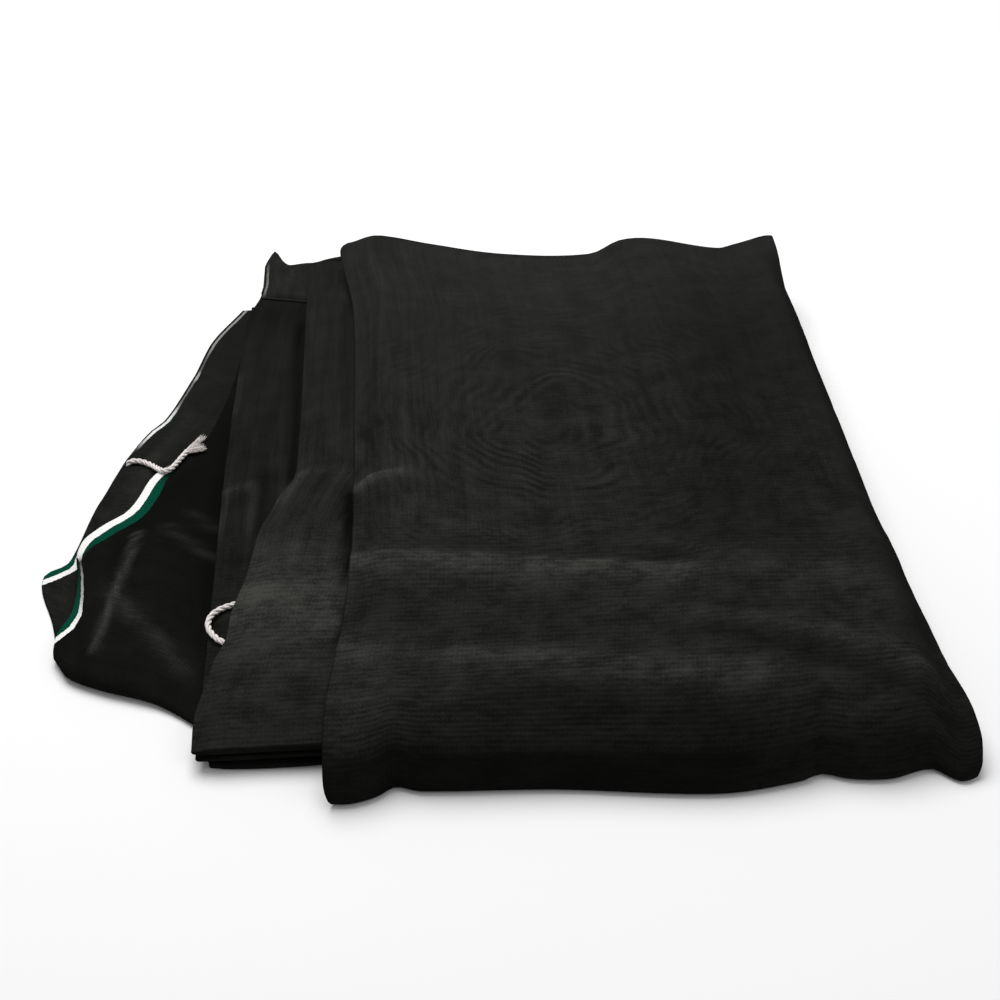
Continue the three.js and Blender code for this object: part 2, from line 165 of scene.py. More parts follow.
# Left margins that settle on the layer below: drop at the edge, reach, and the drop's share by y
SETTLED = {
    TOP: [(15, 30, [(-300, 0.25), (-110, 0.3), (-20, 1), (240, 1), (325, 0.4)])],
    PAD_BASE: [(9, 110, [(250, 0), (300, 1), (330, 1)])],
    SECOND: [
        (6, 18, [(-300, 0.5), (-80, 0.5), (60, 1), (250, 1), (300, 0.2), (330, 0.2)]),
        (5.4, 110, [(250, 0), (300, 1), (330, 1)]),
    ],
    CORNERED: [(5.9, 40, [(200, 0), (256, 1), (320, 1), (348, 0)])],
    THIRD: [(4, 14, [(-300, 0.6), (-100, 0.6), (60, 1), (200, 0.6), (250, 0), (345, 0)])],
}

# Painted shade on the turns at the stack's front, whose fold faces lie in shade
FRONT_TURN_SHADE = -0.75

# Painted shade on the drape's foot, where it curves under, by height: all along it, and in a darker band that
# ends towards the right
FOOT_SHADE = {"tone": -0.57, "z": (62, 24)}
FOOT_SHADE_BAND = {"tone": -0.27, "z": (36, 30), "x": (150, 230)}

# Front end of the two slanted layers, as x and y
SLANTED_FRONT = [
    (-365, -170), (-341, -178), (-333, -189), (-324, -203), (-296, -218), (-256, -234), (-222, -260),
    (-214, -270), (-211, -295), (-204, -303), (-130, -305), (-95, -301), (310, -301),
]

# Rise of the flap's left margin, and lift of the floor layer's, where the tie comes up
FLAP_RISE = {"height": 6, "x": (-228, -270)}
TIE_LIFT = {"height": 7.3, "x": (-254, -292), "y": 38, "width": 55}

# Flicked-up tip at the back left, whose reach backwards fades within a share of the way to the front
FLICK = {"layers": (THIRD, CORNERED), "x": -190, "y": 340, "width": 9, "reach": 32, "rise": 7, "fade": 0.1}

# Further reach of back ends over part of their width, by the upper one of the two layers: reach and x
BACK_RUNS = {CORNERED: [(3, (-174, -152))], PAD_BASE: [(13, (-28, -80)), (-6, (-90, -113))]}

# Wave of the back edges, as x, shift in y and rise, in full at the top of the stack
BACK_WAVE = [
    (-116, 7, 2), (-83, 7, 4), (-34, -4, -1), (47, -22, -7), (139, -27, -8), (173, -9, -3), (204, -8, -2.5),
    (273, -24, -8), (300, -20, -5), (328, -12, -2),
]
BACK_WAVE_DEPTH = 150  # how far forwards the rise runs

# Broad creases through the stack, in full at its top: start and end in plan, height and half width
CREASES = [
    ((-112, -62), (10, -58), 3.5, 20), ((-60, -162), (330, -160), 3.5, 30),
    ((60, -205), (330, -228), 2.5, 20), ((-110, -105), (300, -112), -3, 26),
    ((-100, 170), (310, 150), 2, 40),
]
CREASE_FADE = 2  # half widths over which a crease fades beyond its ends

# Drape: y of its top and foot, then its profile and its tuck on the floor as y and z
DRAPE_TOP = -270
DRAPE_FOOT = -341
DRAPE = [
    (-283, 61.5), (-296, 58.6), (-308, 54), (-319, 46.5), (-328, 37), (-334, 26.5), (-338, 16), (-340.5, 7.5),
]
TUCK = [(-341, 4), (-338.5, 1.6), (-334, 1.2), (-324, 1.2), (-314, 1.2)]
DRAPE_ROWS = 48
DRAPE_RELIEF = (4, 14)  # heights between which its small creases set in
FRONT_LINE = [  # x and y of its foot
    (-122, -344), (-104, -345), (-86, -340), (-72, -332), (-54, -337), (43, -342), (161, -354), (221, -347),
    (238, -341), (258, -347), (288, -349), (320, -342), (338, -354), (355, -350),
]
DRAPE_LEFT = [(0, -114), (0.6, -120), (1, -122)]  # its edges' x by share of the way to the foot
DRAPE_RIGHT = [(0, 345), (0.4, 352), (0.75, 355), (1, 353)]
SIDE_DROOP = {"drop": 26, "x": (311, 345), "y": (292, 222)}  # of the top layer's right margin

CORNER_ROUND = {"reach": 9, "height": 22}  # of the drape's two lower corners

# Faint rings on the top layer, where the weaves of two plies beat together
RINGS = {"x": 75, "y": 12, "pitch": 11.5, "drift": 22, "inner": 60, "reach": 175}

# Soft unevenness of the cloth: height, noise cell and shift in cells for x and y, and step of the seed
RIPPLES = [(0.5, (70, 46), (31, 17), 0), (0.26, (90, 9), (11, 40), 20), (0.14, (14, 30), (25, 33), 40)]

# Streaks along the threads: how far they run across the strip, by place, and where they are weaker
FRONT_THREADS = {"across": 0.84, "y": (-40, -170)}
TOP_THREADS = {"across": 0.55, "x": (-70, 60)}
FAN_ACROSS = 0.6
TURN_THREADS = (1.0, 1.0, 0.0)  # across, strength and nothing, of turns and of the drape
BACK_STRENGTH = {"strength": 0.5, "y": (170, -40)}
RIGHT_STRENGTH = {"strength": 0.4, "x": (290, 335)}

# Sharper creases and painted light and shade of single layers: start and end in plan, height, half width, or
# one on the right and one on the left of its direction, and how much lighter or darker it is painted, as
# painted highlights on crests and painted shadows in gaps and under edges. Those of the top layer run on down
# the drape, where y goes on by the length of the cloth.
FINE_CREASES = {
    TOP: [
        ((-103, -74), (-86, -62), 3, 5, 1.1), ((-84, -61), (-58, -58), 2.4, 5, 1),
        ((-104, -100), (-60, -84), -1.6, 9, -0.1), ((-74, -79), (-10, -111), 1, 5, 0.3),
        ((-66, -100), (12, -138), 0.9, 6, 0.3), ((-40, -64), (40, -101), 0.7, 6, 0.15),
        ((-110, -151), (150, -184), 1.9, (19, 3), 1.5), ((-104, -138), (170, -174), -0.9, 7, -0.2),
        ((190, -172), (275, -196), 0.6, (26, 9), 0.5), ((-100, -218), (150, -238), -1, 22, -0.15),
        ((-110, -250), (190, -286), 1, (14, 8), 0.75), ((90, -219), (222, -248), 1.2, (5, 8), 0.4),
        ((230, -250), (330, -296), 2, (6, 9), 0.5), ((196, -256), (312, -308), -1.2, (12, 8), -0.45),
        ((10, -302), (180, -316), 0, 17, -0.45), ((-92, -280), (-96, -322), 0, 24, 0.35),
        ((215, -110), (265, 170), 0, 80, -0.42), ((-90, 262), (320, 250), 0, 100, 0.32),
        ((338, -250), (330, 260), 0, 16, -0.45), ((-96, -100), (-106, -262), 0.5, 4, 0.3),
    ],
    SECOND: [
        ((-165, -54), (-146, -24), 2.2, 5, 0.9), ((-144, -22), (-100, -27), 2.4, 6, 0.6),
        ((-200, -160), (-100, -170), 0.8, 66, 1.3), ((-196, -124), (-100, -130), 0.9, 7, 0.3),
        ((-196, -172), (-110, -182), 0.8, 20, 0.7), ((-102, -56), (-105, -130), 0, 7, -1.5),
        ((-106, -138), (-115, -280), 0, 4, -1.4), ((-110, 240), (-107, -30), 0, 4, -0.25),
    ],
    THIRD: [
        ((-211, -18), (-193, -14), 1.8, 5, 0.9), ((-178, -4), (-182, -64), 0, 8, -0.42),
        ((-212, 155), (-213, 95), 0.4, 4, 0.6), ((-157, 230), (-156, 0), 0, 6, -0.55),
        ((-205, 262), (-150, 262), 0, 40, -0.28), ((-188, -26), (-190, -70), 1.4, 4, 0.7),
        ((-213, -24), (-215, -70), 0.6, 4, 0.5),
    ],
    CORNERED: [
        ((-185, 350), (-183, 304), 0.5, 3.5, 0.4), ((-170, 332), (-173, 292), 0.5, 4, 0.4),
    ],
    FLAP: [
        ((-222, 80), (-216, -130), 0, 34, -0.15), ((-221, 20), (-222, -215), 0, 5, -0.14),
        ((-258, 10), (-300, -80), 0, 14, -0.12), ((-300, -110), (-240, -190), 0, 34, 0.06),
        ((-287, -58), (-305, -190), 2.4, 3, 2.2), ((-296, -130), (-237, -208), 1.6, 7, 0.9),
        ((-262, -50), (-220, -84), 1, 4, 0.8), ((-246, -28), (-222, -46), 0.8, 4, 0.7),
    ],
    FLOOR: [
        ((-287, 60), (-300, -20), 0.6, 5, 0.5), ((-262, 130), (-282, 70), 0.6, 6, 0.35),
    ],
}
FINE_CREASE_FADE = 1.5  # as CREASE_FADE

# Stripes along the left edge of a layer, or along a line where the edge turns away from them. Each key, from
# back to front, is y and then for the white band and for the green band its start and end in millimetres from
# the edge and its strength.
STRIPES = [
    {"layer": FLAP, "keys": [
        (34, 0, 6, 0, 6, 9, 0), (26, 0, 6.4, 1, 6.4, 11.5, 0.5), (12, 0, 6.6, 1, 6.6, 15, 1),
        (-28, 0, 7, 1, 7, 15.8, 1), (-54, 0, 7, 1, 7, 14.8, 1), (-66, 0, 5.6, 1, 5.6, 10.5, 0.8),
        (-78, 0, 3.8, 0.9, 3.8, 6, 0.4), (-92, 0.2, 2.8, 0, 2.8, 3, 0),
    ]},
    {"layer": FLAP,
     "line": [(-333, -84), (-329, -104), (-327, -130), (-328, -148), (-333, -161), (-348, -180)],
     "keys": [
         (-84, 1.6, 3, 0, 0, 1.6, 0), (-104, 2, 3.6, 0.28, 0.2, 2, 0.35),
         (-132, 3.6, 5.6, 0.42, 0, 3.6, 0.8), (-148, 5, 8.2, 0.8, 0, 5, 1), (-160, 5.6, 9.8, 1, 0, 5.6, 1),
         (-180, 4.8, 9.4, 1, 0, 4.8, 0.9),
     ]},
    {"layer": FLOOR, "keys": [
        (318, 2.2, 4.6, 0.3, 4.6, 5, 0), (245, 2, 4.4, 0.28, 4.4, 5, 0), (222, 1.8, 3.4, 0.08, 3.4, 4, 0),
        (204, 1.8, 3.6, 0.12, 3.6, 4, 0), (194, 1.6, 4.4, 0.5, 4.4, 5, 0), (184, 1.6, 3.6, 0.15, 3.6, 4, 0),
        (150, 1.6, 3.4, 0.12, 3.4, 4.4, 0.1), (138, 1.4, 4.2, 0.6, 4.2, 5.6, 0.3),
        (118, 1.6, 4.6, 0.85, 4.6, 6.2, 0.4), (100, 1.2, 4.2, 0.85, 4.2, 5, 0.2),
        (86, 0.8, 3.4, 0.4, 3.4, 4, 0), (74, 0.4, 2.6, 0, 2.6, 3, 0),
    ]},
    {"layer": FLOOR, "line": [(-341, -60), (-346, -75), (-362, -84), (-380, -93)], "keys": [
        (-60, 3, 6, 0, 0, 3, 0), (-70, 5, 9.4, 0.9, 0, 5, 0.9), (-78, 7.4, 13, 1, 0, 7.4, 1),
        (-93, 7.8, 13.6, 1, 0, 7.8, 1),
    ]},
    {"layer": CORNERED, "keys": [
        (345, 2.6, 4.8, 0, 4.8, 5, 0), (328, 2.6, 5, 0.16, 5, 5.4, 0), (300, 2.6, 5, 0.16, 5, 5.4, 0),
        (290, 2.6, 4.8, 0.12, 4.8, 5.2, 0),
    ]},
]
STRIPE_COLUMNS = 18  # columns from the left edge that may have a stripe
STRIPE_REACH = 40


def smoothstep(x, low, high):
    """0 up to low, 1 from high on and smooth between, also where high is less than low."""
    t = np.clip((x - low) / (high - low), 0, 1)
    return t * t * (3 - 2 * t)


def lerp(a, b, t):
    return a + (b - a) * t


def hump(distance, width):
    return np.exp(-((distance / width) ** 2))


def unit(v):
    return v / np.maximum(np.linalg.norm(v, axis=-1, keepdims=True), TINY)


def line_run(points):
    """Length of a line of points up to each of them."""
    return np.concatenate([[0], np.cumsum(np.linalg.norm(np.diff(points, axis=0), axis=-1))])


def hermite(a, b, leaving, arriving, t):
    """The cubic curve from a to b with the given slopes, read at share t of the way."""
    return (a * (2 * t**3 - 3 * t**2 + 1) + leaving * (t**3 - 2 * t**2 + t)
            + b * (3 * t**2 - 2 * t**3) + arriving * (t**3 - t**2))


def smooth_at(points, x, column=1):
    """A smooth curve through points sorted by their first value, read at x for the given column."""
    table = np.array(points, float)
    xs, ys = table[:, 0], table[:, column]
    last = len(xs) - 1
    i = np.clip(np.searchsorted(xs, x, side="right") - 1, 0, last - 1)
    width = xs[i + 1] - xs[i]
    t = np.clip((x - xs[i]) / width, 0, 1)

    def slope(a, b):
        return (ys[b] - ys[a]) / (xs[b] - xs[a])

    leaving = slope(np.maximum(i - 1, 0), i + 1) * width
    arriving = slope(i, np.minimum(i + 2, last)) * width
    return hermite(ys[i], ys[i + 1], leaving, arriving, t)


def value_noise(x, y, seed):
    """Smooth noise from -1 to 1 on a lattice of unit cells."""
    size = 64
    lattice = np.random.default_rng(seed).uniform(-1, 1, (size, size))
    i, j = np.floor(x).astype(int), np.floor(y).astype(int)
    s, t = smoothstep(x - i, 0, 1), smoothstep(y - j, 0, 1)

    def corner(a, b):
        return lattice[(i + a) % size, (j + b) % size]

    return lerp(lerp(corner(0, 0), corner(1, 0), s), lerp(corner(0, 1), corner(1, 1), s), t)


# The net's form

def stack_share(z):
    """How far up the stack a height is."""
    return (z - LAYERS[FLOOR]["height"][0]) / TOP_HEIGHT


def front_line(index, x):
    """Line of a layer's front end."""
    layer = LAYERS[index]
    return layer["front"] if "front" in layer else smooth_at(SLANTED_FRONT, x)


def back_corner(index, side):
    """X of a layer's left or right edge at its back end."""
    layer = LAYERS[index]
    return layer[side][0] if side in layer else layer["left_line"][0][1]


def back_line(index, u):
    """Line of a layer's back end. The two layers that a back fold joins share the line of the upper one."""
    upper = index if index % 2 == 0 else index + 1
    layer = LAYERS[upper]
    x = lerp(back_corner(upper, "left"), back_corner(upper, "right"), u)
    line = layer["back"] + stack_share(layer["height"][1]) * smooth_at(BACK_WAVE, x)
    for reach, places in BACK_RUNS.get(upper, []):
        line = line + reach * smoothstep(x, *places)
    return line


def edge_at(index, side, t):
    """A layer's left or right edge at share t of the way from back to front."""
    layer = LAYERS[index]
    if side in layer:
        return smooth_at(np.column_stack([np.linspace(0, 1, len(layer[side])), layer[side]]), t)
    y, x = np.array(layer["left_line"], float).T
    back = back_line(index, 0.0)
    return smooth_at(np.column_stack([(back - y) / (back - front_line(index, x)), x]), t)


def crease_share(x, y, start, end, width, fade):
    """How much of a crease a plan point has. It fades beyond its ends over some of its half widths."""
    right, left = np.broadcast_to(width, 2)
    along = np.subtract(end, start)
    length = np.hypot(*along)
    along = along / length
    dx, dy = x - start[0], y - start[1]
    run = dx * along[0] + dy * along[1]
    past = np.maximum(0, np.maximum(-run, run - length))
    aside = dy * along[0] - dx * along[1]
    return hump(aside, np.where(aside > 0, left, right)) * hump(past, fade * right)


def layer_height(index, x, y):
    """Height of the sheet's middle at plan points of a layer."""
    layer = LAYERS[index]
    t = (STACK_BACK - y) / (STACK_BACK - STACK_FRONT)
    back, middle, front = layer["height"]
    z = back * (1 - t) * (1 - 2 * t) + middle * 4 * t * (1 - t) + front * t * (2 * t - 1)
    share = stack_share(z)
    near_back = hump(np.maximum(0, layer["back"] - y), BACK_WAVE_DEPTH)
    z = z + share * smooth_at(BACK_WAVE, x, 2) * near_back
    for start, end, height, width in CREASES:
        z = z + share**2 * height * crease_share(x, y, start, end, width, CREASE_FADE)
    if index == FLOOR:
        near_tie = hump(y - TIE_LIFT["y"], TIE_LIFT["width"])
        z = z + TIE_LIFT["height"] * smoothstep(x, *TIE_LIFT["x"]) * near_tie
    if index == FLAP:
        z = z + FLAP_RISE["height"] * smoothstep(x, *FLAP_RISE["x"])
    if index in FLICK["layers"]:
        z = z + FLICK["rise"] * hump(np.hypot(x - FLICK["x"], y - FLICK["y"]), FLICK["width"])
    if index == TOP:
        z = z - SIDE_DROOP["drop"] * smoothstep(x, *SIDE_DROOP["x"]) * smoothstep(y, *SIDE_DROOP["y"])
    return z


def fine_relief(index, x, y):
    """Small creases and ripples of a layer, and the painted light and shade on the cloth there: its layer's
    tone and its creases' painted highlights and shadows.
    """
    relief, painted_shading = np.zeros_like(x), np.full_like(x, LAYERS[index].get("tone", 0.0))
    for start, end, height, width, crease_shading in FINE_CREASES.get(index, []):
        share = crease_share(x, y, start, end, width, FINE_CREASE_FADE)
        relief += height * share
        painted_shading += crease_shading * share
    if LAYERS[index]["rows"] > HIDDEN_ROWS:
        relief += ripples(x, y, index)
    return relief, painted_shading


def ripples(x, y, seed):
    """Soft unevenness of the cloth, in millimetres."""
    return sum(height * value_noise(x / cell[0] + shift[0], y / cell[1] + shift[1], seed + step)
               for height, cell, shift, step in RIPPLES)


def ring_place(index, x, y):
    """Metres from the rings' middle, and how strong the rings are."""
    dx, dy = x - RINGS["x"], y - RINGS["y"]
    away = np.hypot(dx, dy)
    strength = smoothstep(away, 0, RINGS["inner"]) * hump(away, RINGS["reach"]) * (index == TOP)
    return np.stack([dx * MM, dy * MM, strength], -1)


def thread_run(index, x, y):
    """How far the visible streaks run across rather than along the strip, and how strong they are."""
    across = FRONT_THREADS["across"] * smoothstep(y, *FRONT_THREADS["y"])
    if index == TOP:
        across = np.maximum(across, TOP_THREADS["across"] * smoothstep(x, *TOP_THREADS["x"]))
    if index in (FLOOR, FLAP):
        across = np.full_like(x, FAN_ACROSS)
    strength = lerp(BACK_STRENGTH["strength"], 1.0, smoothstep(y, *BACK_STRENGTH["y"]))
    strength = strength * lerp(1.0, RIGHT_STRENGTH["strength"], smoothstep(x, *RIGHT_STRENGTH["x"]))
    return np.stack([across, strength, np.zeros_like(x)], -1)


def settled_drop(index, from_left, y):
    """How far a layer's left margin sinks towards the layer below."""
    drop = np.zeros_like(y)
    for at_edge, reach, shares in SETTLED.get(index, []):
        drop += at_edge * smooth_at(shares, y) * (1 - smoothstep(from_left, 0, reach))
    return drop


def layer_grid(index, u, t):
    """Points of a layer for shares u across and t from back to front."""
    left, right = edge_at(index, "left", t)[:, None], edge_at(index, "right", t)[:, None]
    x = lerp(left, right, u)
    y = lerp(back_line(index, u), front_line(index, x), t[:, None])
    if index in FLICK["layers"]:
        fading = 1 - smoothstep(t, 0, FLICK["fade"])[:, None]
        y = y + FLICK["reach"] * hump(x - FLICK["x"], FLICK["width"]) * fading
    return np.stack([x, y, layer_height(index, x, y) - settled_drop(index, x - left, y)], -1)


def turn_grid(start, end, outward):
    """The half-round turn from the end of one layer to the start of the next."""
    angle = np.pi * np.arange(1, TURN_STEPS) / TURN_STEPS
    points = lerp(start, end, ((1 - np.cos(angle)) / 2)[:, None, None])
    points[..., 1] += outward * 0.5 * np.abs(end[:, 2] - start[:, 2]) * np.sin(angle)[:, None]
    return points


def drape_grid(u):
    """The drape, from the top layer's front down to the floor and under, and each row's length of cloth."""
    top_z = float(layer_height(TOP, np.array(0.0), np.array(float(DRAPE_TOP))))
    lowest = TUCK[-1][1]
    profile = np.array([(DRAPE_TOP, top_z), *DRAPE, *TUCK], float)
    table = np.column_stack([line_run(profile), profile])
    at = np.linspace(0, table[-1, 0], DRAPE_ROWS + 1)[1:]
    ys, zs = smooth_at(table, at, 1), np.maximum(smooth_at(table, at, 2), lowest)
    fall = np.clip((DRAPE_TOP - ys) / (DRAPE_TOP - DRAPE_FOOT), 0, 1)
    low = np.clip(1 - zs / CORNER_ROUND["height"], 0, 1)
    inset = CORNER_ROUND["reach"] * (1 - np.sqrt(1 - low**2))
    left, right = smooth_at(DRAPE_LEFT, fall) + inset, smooth_at(DRAPE_RIGHT, fall) - inset
    x = lerp(left[:, None], right[:, None], u)
    reach = (smooth_at(FRONT_LINE, x) - DRAPE_TOP) / (DRAPE_FOOT - DRAPE_TOP)
    share = ((zs - lowest) / (DRAPE[0][1] - lowest))[:, None]
    droop = layer_height(TOP, x, np.full_like(x, DRAPE_TOP)) - top_z
    y = DRAPE_TOP + (ys - DRAPE_TOP)[:, None] * reach
    return np.stack([x, y, zs[:, None] + droop * share], -1), at


def foot_shade(x, z):
    """Painted shade that darkens the drape towards its foot, where it curves under."""
    slope = FOOT_SHADE["tone"] * smoothstep(z, *FOOT_SHADE["z"])
    band = FOOT_SHADE_BAND["tone"] * smoothstep(z, *FOOT_SHADE_BAND["z"])
    return slope + band * (1 - smoothstep(x, *FOOT_SHADE_BAND["x"]))


def crowded_shares(count, crowding):
    """Shares from 0 to 1 that crowd towards both ends, or below zero towards the middle."""
    even = np.linspace(0, 1, count + 1)
    return even - crowding / (2 * np.pi) * np.sin(2 * np.pi * even)


def net_grid():
    """The whole strip: its points, for each one the relief, painted light and shade, thread run and place in
    the rings, and for each row the layer, the thickness at the right edge and the side that is its upper one."""
    u = crowded_shares(COLUMNS, COLUMN_CROWDING)
    parts = []

    def add(points, index, puff, upper, relief=0.0, painted_shading=0.0, threads=TURN_THREADS):
        shape = points.shape[:2]
        rings = ring_place(index, points[..., 0], points[..., 1])
        parts.append((points, np.full(shape, relief), np.full(shape, painted_shading), np.full(points.shape, threads),
                      rings, *(np.full(shape[0], value) for value in (index, puff, upper))))

    for index, layer in enumerate(LAYERS):
        forward = index % 2 == 0
        t = crowded_shares(layer["rows"], layer.get("crowding", ROW_CROWDING))
        points = layer_grid(index, u, t if forward else t[::-1])
        if index > 0:
            turn = turn_grid(parts[-1][0][-1], points[0], 1 if forward else -1)
            puff = np.linspace(LAYERS[index - 1]["puff"], layer["puff"], len(turn))
            # Turns at the stack's front get painted shade
            add(turn, NO_LAYER, puff, 0, painted_shading=0.0 if forward else FRONT_TURN_SHADE)
        x, y = points[..., 0], points[..., 1]
        relief, painted_shading = fine_relief(index, x, y)
        add(points, index, layer["puff"], -1 if forward else 1, relief, painted_shading, thread_run(index, x, y))
    drape, run = drape_grid(u)
    x, z = drape[..., 0], drape[..., 2]
    relief, painted_shading = fine_relief(TOP, x, np.broadcast_to(DRAPE_TOP - run[:, None], x.shape))
    relief = relief * smoothstep(z, *DRAPE_RELIEF)
    # The drape gets the painted highlights and shadows of the top layer's creases and the painted shade at
    # its foot
    add(drape, NO_LAYER, LAYERS[TOP]["puff"], -1, relief, painted_shading + foot_shade(x, z))
    return [np.concatenate(column) for column in zip(*parts)]


def sheet_normals(points):
    """The grid's vectors across and along, and its unit normals."""
    across, along = np.gradient(points, axis=1), np.gradient(points, axis=0)
    return across, along, unit(np.cross(across, along))


def sheet_thickness(run_across, layers, puffs):
    """Thickness of the sheet, puffed at the right edge and tapered at one layer's left edge."""
    from_right = run_across[:, -1:] - run_across
    thickness = SHEET + (puffs[:, None] - SHEET) * (1 - smoothstep(from_right, 0, PUFF_REACH))
    near_left = 1 - smoothstep(run_across, 0, EDGE_TAPER["reach"])
    return thickness * (1 - EDGE_TAPER["share"] * (layers == EDGE_TAPER["layer"])[:, None] * near_left)


def border_of(rows, columns):
    """The grid's border as rows and columns, once round."""
    corner = np.arange(rows * columns).reshape(rows, columns)
    edges = [corner[0, :-1], corner[:-1, -1], corner[-1, :0:-1], corner[:0:-1, 0]]
    return np.divmod(np.concatenate(edges), columns)


def rim_rings(points, normals, half, border):
    """Rings of points round the sheet's edge, from the upper side to the lower one."""
    rows, columns = points.shape[:2]
    edge = points[border]
    outward = unit(np.cross(np.roll(edge, -1, axis=0) - np.roll(edge, 1, axis=0), normals[border]))
    inside = points[np.clip(border[0], 1, rows - 2), np.clip(border[1], 1, columns - 2)]
    outward *= np.sign(np.sum(outward * (edge - inside), axis=-1, keepdims=True))
    rings = []
    for step in range(1, RIM_STEPS):
        angle = np.pi * step / RIM_STEPS
        rings.append(edge + half[border] * (normals[border] * math.cos(angle) + outward * math.sin(angle)))
    return rings


def sheet_faces(rows, columns, border):
    """Faces of the sheet's two sides and of its rim."""
    count, length = rows * columns, len(border[0])
    corner = np.arange(count).reshape(rows, columns)
    quads = np.stack([corner[:-1, :-1], corner[:-1, 1:], corner[1:, 1:], corner[1:, :-1]], -1).reshape(-1, 4)
    rings = [2 * count + step * length + np.arange(length) for step in range(RIM_STEPS - 1)]
    loops = [corner[border], *rings, count + corner[border]]
    bands = [np.stack([a, b, np.roll(b, -1), np.roll(a, -1)], -1) for a, b in zip(loops[:-1], loops[1:])]
    return np.concatenate([quads, count + quads[:, ::-1], *bands])


def nearest_on_line(places, line):
    """Each plan place's distance from a line of points, and the y of the line's nearest point."""
    start, along = line[:-1], np.diff(line, axis=0)
    offset = places[..., None, :] - start
    share = np.clip(np.sum(offset * along, axis=-1) / np.sum(along**2, axis=-1), 0, 1)
    nearest = start + share[..., None] * along
    distance = np.linalg.norm(places[..., None, :] - nearest, axis=-1)
    best = np.argmin(distance, axis=-1)[..., None]
    return [np.take_along_axis(grid, best, -1)[..., 0] for grid in (distance, nearest[..., 1])]


def stripe_bands(points, layers):
    """Each grid point's distance from its striped edge, and the white and green bands there, in metres."""
    away, bands = np.zeros(points.shape[:2]), np.zeros((*points.shape[:2], 6))
    for stripe in STRIPES:
        rows = np.flatnonzero(layers == stripe["layer"])
        at = np.ix_(rows, np.arange(STRIPE_COLUMNS))
        line = np.array(stripe["line"], float) if "line" in stripe else points[rows, 0, :2]
        distance, y = nearest_on_line(points[at][..., :2], line)
        keys = np.array(stripe["keys"])[::-1]
        values = np.stack([np.interp(y, keys[:, 0], column) for column in keys[:, 1:].T], -1)
        values *= np.array([MM, MM, 1, MM, MM, 1])
        here = (y > keys[0, 0]) & (y < keys[-1, 0]) & (distance < STRIPE_REACH)
        away[at] = np.where(here, distance * MM, away[at])
        bands[at] = np.where(here[..., None], values, bands[at])
    return away, bands[..., :3], bands[..., 3:]


def make_net(name, material):
    """The net as a closed thin sheet with a rounded rim, and its area and length."""
    points, relief, painted_shading, threads, rings, layers, puffs, upper_side = net_grid()
    rows, columns = points.shape[:2]
    points = points + sheet_normals(points)[2] * (relief * upper_side[:, None])[..., None]
    points[..., 2] = np.maximum(points[..., 2], 0.5 * SHEET)
    across, along, normals = sheet_normals(points)
    run_across = np.zeros((rows, columns))
    run_across[:, 1:] = np.cumsum(np.linalg.norm(np.diff(points, axis=1), axis=-1), axis=1)
    run_along = line_run(points[:, columns // 2])

    border = border_of(rows, columns)
    half = 0.5 * sheet_thickness(run_across, layers, puffs)[..., None]
    sides = [(points + normals * half).reshape(-1, 3), (points - normals * half).reshape(-1, 3)]
    vertices = np.concatenate(sides + rim_rings(points, normals, half, border))
    mesh = bpy.data.meshes.new(name)
    faces = sheet_faces(rows, columns, border)
    mesh.from_pydata(((vertices - PLAN_MIDDLE) * MM).tolist(), [], faces.tolist())

    def spread(grid):
        """A grid's values for both sides and the rim."""
        side, rim = grid.reshape(rows * columns, -1), grid[border].reshape(len(border[0]), -1)
        return np.concatenate([side] * 2 + [rim] * (RIM_STEPS - 1))

    # Places on the cornered layer follow x, because its left edge jumps
    cloth_across = run_across + (layers == CORNERED)[:, None] * points[:, :1, 0]
    cloth = np.stack(np.broadcast_arrays(cloth_across, run_along[:, None]), -1)
    away, white, green = stripe_bands(points, layers)
    on_right = (border[1] == columns - 1)[:, None]
    rim_shares = [on_right * step / RIM_STEPS for step in range(1, RIM_STEPS)]
    zeros = np.zeros((rows * columns, 1))
    add_attribute(mesh, "rim", np.concatenate([zeros, zeros + 1, *rim_shares]))
    for label, grid in [("painted_shading", painted_shading), ("threads", threads), ("rings", rings), ("from_edge", away),
                        ("white_band", white), ("green_band", green)]:
        add_attribute(mesh, label, spread(grid))
    area = np.linalg.norm(np.cross(across, along), axis=-1).sum() * MM * MM
    return finished(name, mesh, "cloth", spread(cloth) * MM, material), area, run_along[-1] * MM


def add_attribute(mesh, name, values):
    """One number or one vector for each vertex."""
    kind, field = ("FLOAT", "value") if values.shape[1] == 1 else ("FLOAT_VECTOR", "vector")
    attribute = mesh.attributes.new(name, kind, "POINT")
    attribute.data.foreach_set(field, values.astype(np.float32).ravel())


def finished(name, mesh, uv_name, uv, material):
    """An object of a mesh, with a place on its material for each vertex, shaded smooth."""
    corners = np.zeros(len(mesh.loops), int)
    mesh.loops.foreach_get("vertex_index", corners)
    mesh.uv_layers.new(name=uv_name).data.foreach_set("uv", uv[corners].astype(np.float32).ravel())
    mesh.polygons.foreach_set("use_smooth", np.ones(len(mesh.polygons), bool))
    mesh.materials.append(material)
    return add_object(name, mesh)


def add_object(name, data):
    made = bpy.data.objects.new(name, data)
    bpy.context.scene.collection.objects.link(made)
    return made


# Cords

def route_line(route):
    """Even points along a smooth curve through a route, in the frame, and the curve's length."""
    points = (np.array(route) - PLAN_MIDDLE) * MM
    slopes = np.gradient(points, axis=0)
    t = np.linspace(0, 1, ROUTE_STEPS, endpoint=False)[:, None]
    stretches = zip(points[:-1], points[1:], slopes[:-1], slopes[1:])
    fine = np.concatenate([*(hermite(*stretch, t) for stretch in stretches), points[-1:]])
    run = line_run(fine)
    at = np.linspace(0, run[-1], int(round(run[-1] / CORD_STEP)) + 1)
    return np.stack([np.interp(at, run, fine[:, k]) for k in range(3)], -1), run[-1]


